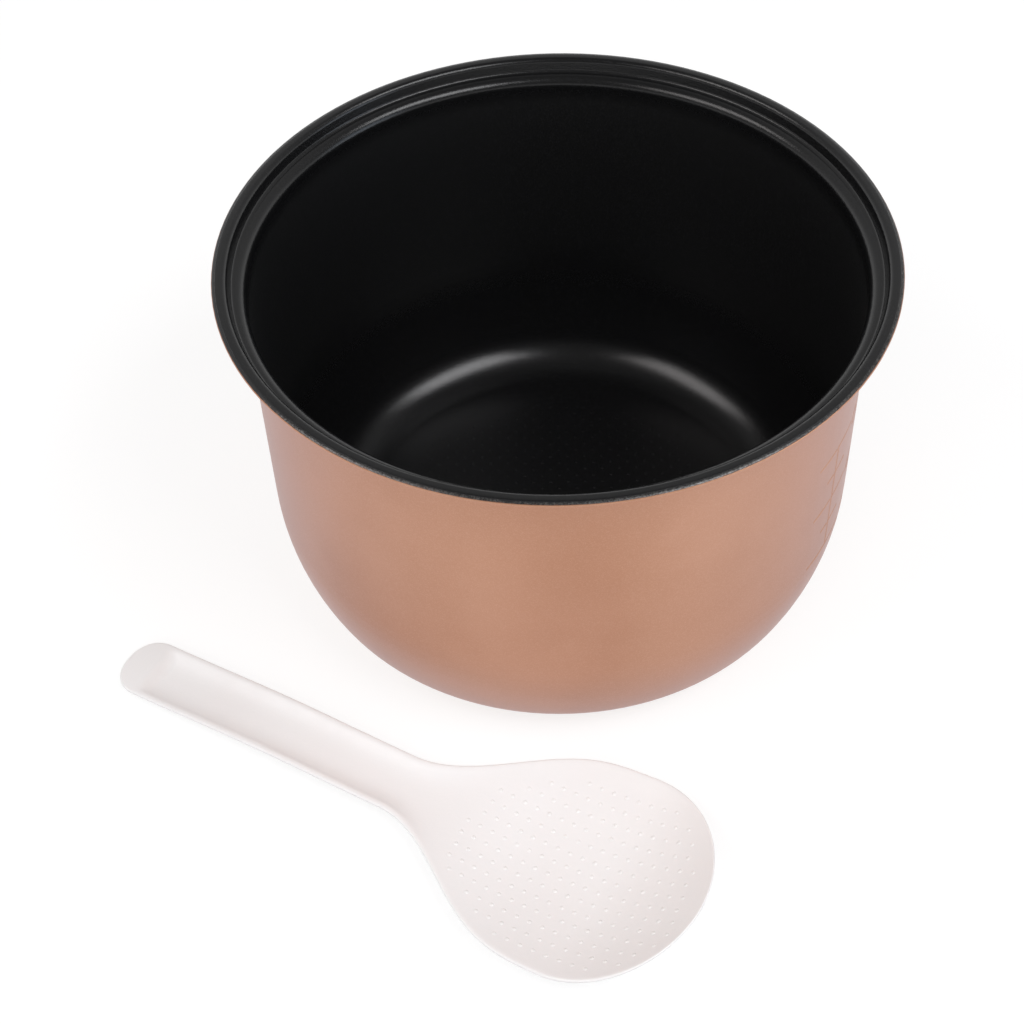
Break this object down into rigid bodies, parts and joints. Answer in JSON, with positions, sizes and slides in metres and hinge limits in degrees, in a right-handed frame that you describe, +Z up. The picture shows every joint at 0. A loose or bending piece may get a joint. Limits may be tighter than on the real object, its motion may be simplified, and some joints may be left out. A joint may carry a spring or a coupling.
{
  "type": "rice cooker inner pot with paddle",
  "caption": "Round metal inner pot with a stepped flanged rim, black inside and copper-coloured outside, with a white plastic rice paddle lying beside it.",
  "frame": {"origin": "centre of the pot's flat base, on the surface that the pot and the paddle stand on", "axes": "+Z up along the pot's axis; +X to the right and +Y to the back, seen from the side on which the paddle lies in front of the pot"},
  "size_m": [0.2402, 0.2752, 0.121],
  "materials": {
    "bare_aluminium": "turned aluminium, satin",
    "nonstick_black": "black non-stick coat, fine-textured satin",
    "copper_paint": "fine metallic copper paint, satin",
    "white_plastic": "white moulded plastic, satin"
  },
  "bodies": {
    "pot": {"pot_shell": "bare_aluminium", "nonstick_lining": "nonstick_black", "copper_coat": "copper_paint"},
    "paddle": {"rice_paddle": "white_plastic"}
  },
  "joints": [
    {"name": "paddle_lift", "type": "slide", "parent": "pot", "child": "paddle", "axis": [-0.12, -0.22, 0.9681], "range_m": [0, 0.16]}
  ]
}
